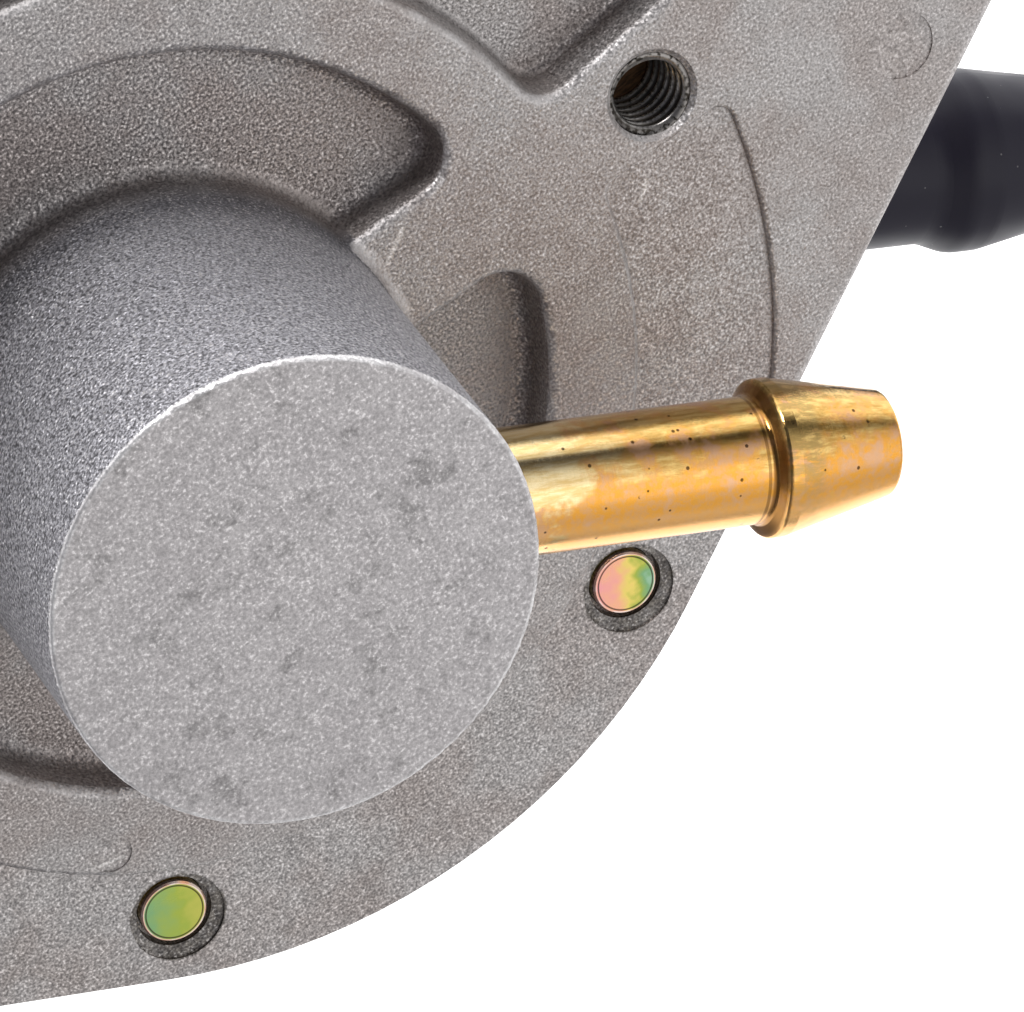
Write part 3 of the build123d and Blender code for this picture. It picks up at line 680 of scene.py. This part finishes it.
def thread(name, x, material):
    """The ridges of a tapped hole, as a ring whose inner face is the cut helix."""
    around = 72
    per_turn = 10
    hair = 0.01
    flank, crest = 1.25, 1.3
    low, high = FLANGE_LOW + 2 * hair, FLANGE_TOP - TAPPED_CHAMFER
    rows = int((high - low) / THREAD_PITCH * per_turn)
    shell = TAPPED_RADIUS + 5 * hair
    points = []
    for row in range(rows + 1):
        z = low + (high - low) * row / rows
        for step in range(around):
            angle = 2 * pi * step / around
            turn = (z / THREAD_PITCH - angle / (2 * pi)) % 1.0
            ridge = max(0.0, 1.0 - abs(2 * turn - 1) * flank)
            radius = TAPPED_RADIUS - hair - THREAD_DEPTH * min(1.0, ridge * crest)
            points.append((x + radius * cos(angle), radius * sin(angle), z))
    for z in (low, high):
        for step in range(around):
            angle = 2 * pi * step / around
            points.append((x + shell * cos(angle), shell * sin(angle), z))
    faces = []
    last = rows * around
    outer_low = (rows + 1) * around
    outer_high = outer_low + around
    for step in range(around):
        after = (step + 1) % around
        for row in range(rows):
            near, far = row * around, (row + 1) * around
            faces.append((near + step, far + step, far + after, near + after))
        faces.append((step, after, outer_low + after, outer_low + step))
        faces.append((last + after, last + step, outer_high + step, outer_high + after))
        faces.append((outer_low + step, outer_low + after, outer_high + after, outer_high + step))
    mesh = bpy.data.meshes.new(name)
    mesh.from_pydata([Vector(point) * MM for point in points], [], faces)
    mesh.materials.append(material)
    for polygon in mesh.polygons:
        polygon.use_smooth = True
    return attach(put(name, mesh), "housing")


front = blasted_aluminium("blasted_aluminium_front", front=True)
cast = blasted_aluminium("blasted_aluminium")
fibre = pressed_fibre("pressed_fibre")
nitrile = moulded_rubber("moulded_nitrile")
wire = drawn_spring_wire("drawn_spring_wire")
plate = plated_steel("plated_steel")
chromate = yellow_zinc("yellow_zinc")
seat = turned_brass("turned_brass_seat", INLET_LEVEL, INLET_OFFSET, 0.0)
finishes = {
    "front_cover": front,
    "valve_body": cast,
    "rear_cover": cast,
    "outlet_nipple": turned_brass("turned_brass_outlet", OUTLET_LEVEL, 0.0, OUTLET_WALL),
    "inlet_nipple": turned_brass("turned_brass_inlet", INLET_LEVEL, INLET_OFFSET, INLET_WALL),
    "pulse_nipple": turned_brass(
        "turned_brass_pulse", PULSE_LEVEL, 0.0, PULSE_WALL, NIPPLE_TURN + pi
    ),
    "inlet_valve_seat": seat,
    "outlet_valve_seat": seat,
    "inlet_cap": dipped_vinyl("dipped_vinyl"),
    "cover_gasket": fibre,
    "rear_gasket": fibre,
    "inlet_valve_disc": nitrile,
    "outlet_valve_disc": nitrile,
    "diaphragm": rubbered_fabric("rubbered_fabric"),
    "inlet_valve_spring": wire,
    "outlet_valve_spring": wire,
    "diaphragm_spring": wire,
    "inlet_valve_cage": plate,
    "outlet_valve_cage": plate,
    "fuel_side_plate": plate,
    "pulse_side_plate": plate,
    "diaphragm_rivet": plate,
    "clamp_screws": chromate,
    "spring_washers": chromate,
}
for node, material in finishes.items():
    for slot in nodes[node].material_slots:
        slot.material = material

tapped = tapped_aluminium("tapped_aluminium")
for name, x in (("thread_right", TAPPED_REACH), ("thread_left", -TAPPED_REACH)):
    thread(name, x, tapped)


def spring_that_gives(node):
    """A copy of a spring as a piece of its own, with the spring itself hidden."""
    piece = put(node + "_wire", nodes[node].data.copy())
    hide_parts(node)
    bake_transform(piece)


def diaphragm_wedge(index):
    """One wedge of the diaphragm, cut out between two planes through its axis."""
    shape = bmesh.new()
    shape.from_mesh(nodes["diaphragm"].data)
    bmesh.ops.remove_doubles(shape, verts=shape.verts, dist=WELD)
    for side in (-1, 1):
        angle = 2 * pi * (index + side / 2) / WEDGES
        outward = (-sin(angle) * side, cos(angle) * side, 0)
        whole = shape.verts[:] + shape.edges[:] + shape.faces[:]
        bmesh.ops.bisect_plane(
            shape, geom=whole, plane_co=(0, 0, 0), plane_no=outward, clear_outer=True
        )
        cut = [edge for edge in shape.edges if edge.is_boundary]
        bmesh.ops.holes_fill(shape, edges=cut, sides=0)
    name = f"diaphragm_wedge_{index + 1:02d}"
    mesh = bpy.data.meshes.new(name)
    shape.to_mesh(mesh)
    shape.free()
    for polygon in mesh.polygons:
        polygon.use_smooth = False
    mesh.materials.append(finishes["diaphragm"])
    piece = put(name, mesh)
    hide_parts("diaphragm")
    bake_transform(piece)


# The springs and the diaphragm are replaced by copies of the springs and by wedges of the diaphragm
for node, body, upwards in (
    ("diaphragm_spring", "diaphragm_core", True),
    ("inlet_valve_spring", "inlet_flap", True),
    ("outlet_valve_spring", "outlet_flap", False),
):
    spring_that_gives(node)
for index in range(WEDGES):
    diaphragm_wedge(index)


def plain_floor():
    """A pale sweep that the pump stands on."""
    size = 3.0
    mesh = bpy.data.meshes.new("floor")
    corners = [(-size, -size, 0), (size, -size, 0), (size, size, 0), (-size, size, 0)]
    mesh.from_pydata(corners, [], [(0, 1, 2, 3)])
    material, tree = new_material("pale_floor")
    close(
        tree, linear("#f4f4f4"), Roughness=0.9, Emission_Color=linear("#ffffff"),
        Emission_Strength=1.0,
    )
    mesh.materials.append(material)
    put("floor", mesh)


def from_bearing(azimuth, elevation):
    """The unit vector at an azimuth and an elevation in degrees."""
    flat = cos(radians(elevation))
    return Vector((
        cos(radians(azimuth)) * flat, sin(radians(azimuth)) * flat, sin(radians(elevation)),
    ))


def soft_box(name, azimuth, elevation, distance, size, watts):
    """A white soft light aimed at the pump."""
    light = bpy.data.lights.new(name, "AREA")
    light.shape = "RECTANGLE"
    light.size, light.size_y = size
    light.energy = watts
    lamp = put(name, light)
    aim = Vector((0, 0, FLANGE_TOP * MM))
    away = from_bearing(azimuth, elevation)
    lamp.location = aim + away * distance
    lamp.rotation_euler = away.to_track_quat("Z", "Y").to_euler()


def studio_world():
    """What the metal reflects: a grey studio, white above and beyond the pump."""
    world = bpy.data.worlds.new("studio")
    world.use_nodes = True
    tree = world.node_tree
    tree.nodes.clear()
    ray = add(tree, "TexCoord", out="Generated")
    height = add(tree, "SeparateXYZ", {"Vector": ray}, out="Z")

    def towards(azimuth, elevation):
        way = from_bearing(azimuth, elevation)
        return add(tree, "VectorMath", {0: ray, 1: way}, operation="DOT_PRODUCT", out="Value")

    # White above and beyond the pump
    colour = add(tree, "MixRGB", {
        "Fac": add(tree, "MapRange", {"Value": towards(306, 50), 1: 0.30, 2: 0.80}, **SMOOTH),
        "Color1": linear("#6c6d73"), "Color2": linear("#e0e0df"),
    })
    colour = add(tree, "MixRGB", {
        "Fac": add(tree, "MapRange", {"Value": towards(345, 60), 1: 0.6, 2: 1.0}, **SMOOTH),
        "Color1": colour, "Color2": linear("#ffffff"),
    })
    # Dark on the camera's side
    colour = add(tree, "MixRGB", {
        "Fac": add(tree, "MapRange", {
            "Value": towards(97, 40), 1: 0.70, 2: 0.93, 3: 0.0, 4: 0.7,
        }, **SMOOTH),
        "Color1": colour, "Color2": linear("#4c4d53"),
    })
    # To the right a pale table, and a dark gap above its far edge
    low = times(
        tree, band(tree, height, -0.1, 0.12, 0.04),
        add(tree, "MapRange", {"Value": towards(45, 5), 1: 0.5, 2: 0.8}, **SMOOTH),
    )
    colour = add(tree, "MixRGB", {"Fac": low, "Color1": colour, "Color2": linear("#eeeeee")})
    gap = times(
        tree, band(tree, height, 0.21, 0.30, 0.04),
        add(tree, "MapRange", {"Value": towards(45, 10), 1: 0.3, 2: 0.7}, **SMOOTH), 0.6,
    )
    colour = add(tree, "MixRGB", {"Fac": gap, "Color1": colour, "Color2": linear("#2c2620")})
    background = add(tree, "Background", {"Color": colour, "Strength": 1.15})
    output = tree.nodes.new("ShaderNodeOutputWorld")
    tree.links.new(background, output.inputs["Surface"])
    scene.world = world


def photo_camera():
    """The camera where the photograph was taken, above and beside the pump, and rolled."""
    place = Vector((-3.04, 130.12, 279.39))
    aim = Vector((16.18, -20.15, FLANGE_TOP))
    picture_up = Vector((0.5855, 0.7056, -0.3992))
    focal_length = 140.6
    camera = put("camera", bpy.data.cameras.new("camera"))
    back = (place - aim).normalized()
    right = picture_up.cross(back).normalized()
    up = back.cross(right)
    turned = Matrix((right, up, back)).transposed().to_4x4()
    camera.matrix_world = Matrix.Translation(place * MM) @ turned
    camera.data.lens = focal_length
    camera.data.sensor_width = 36.0
    camera.data.sensor_fit = "HORIZONTAL"
    camera.data.clip_start = 0.01
    scene.camera = camera


plain_floor()
studio_world()
soft_box("overhead", azimuth=336, elevation=58, distance=0.33, size=(0.20, 0.20), watts=0.06)
soft_box("key", azimuth=80, elevation=6, distance=0.9, size=(0.34, 0.17), watts=5.3)
photo_camera()
scene.view_settings.view_transform = "Standard"

bpy.context.view_layer.update()
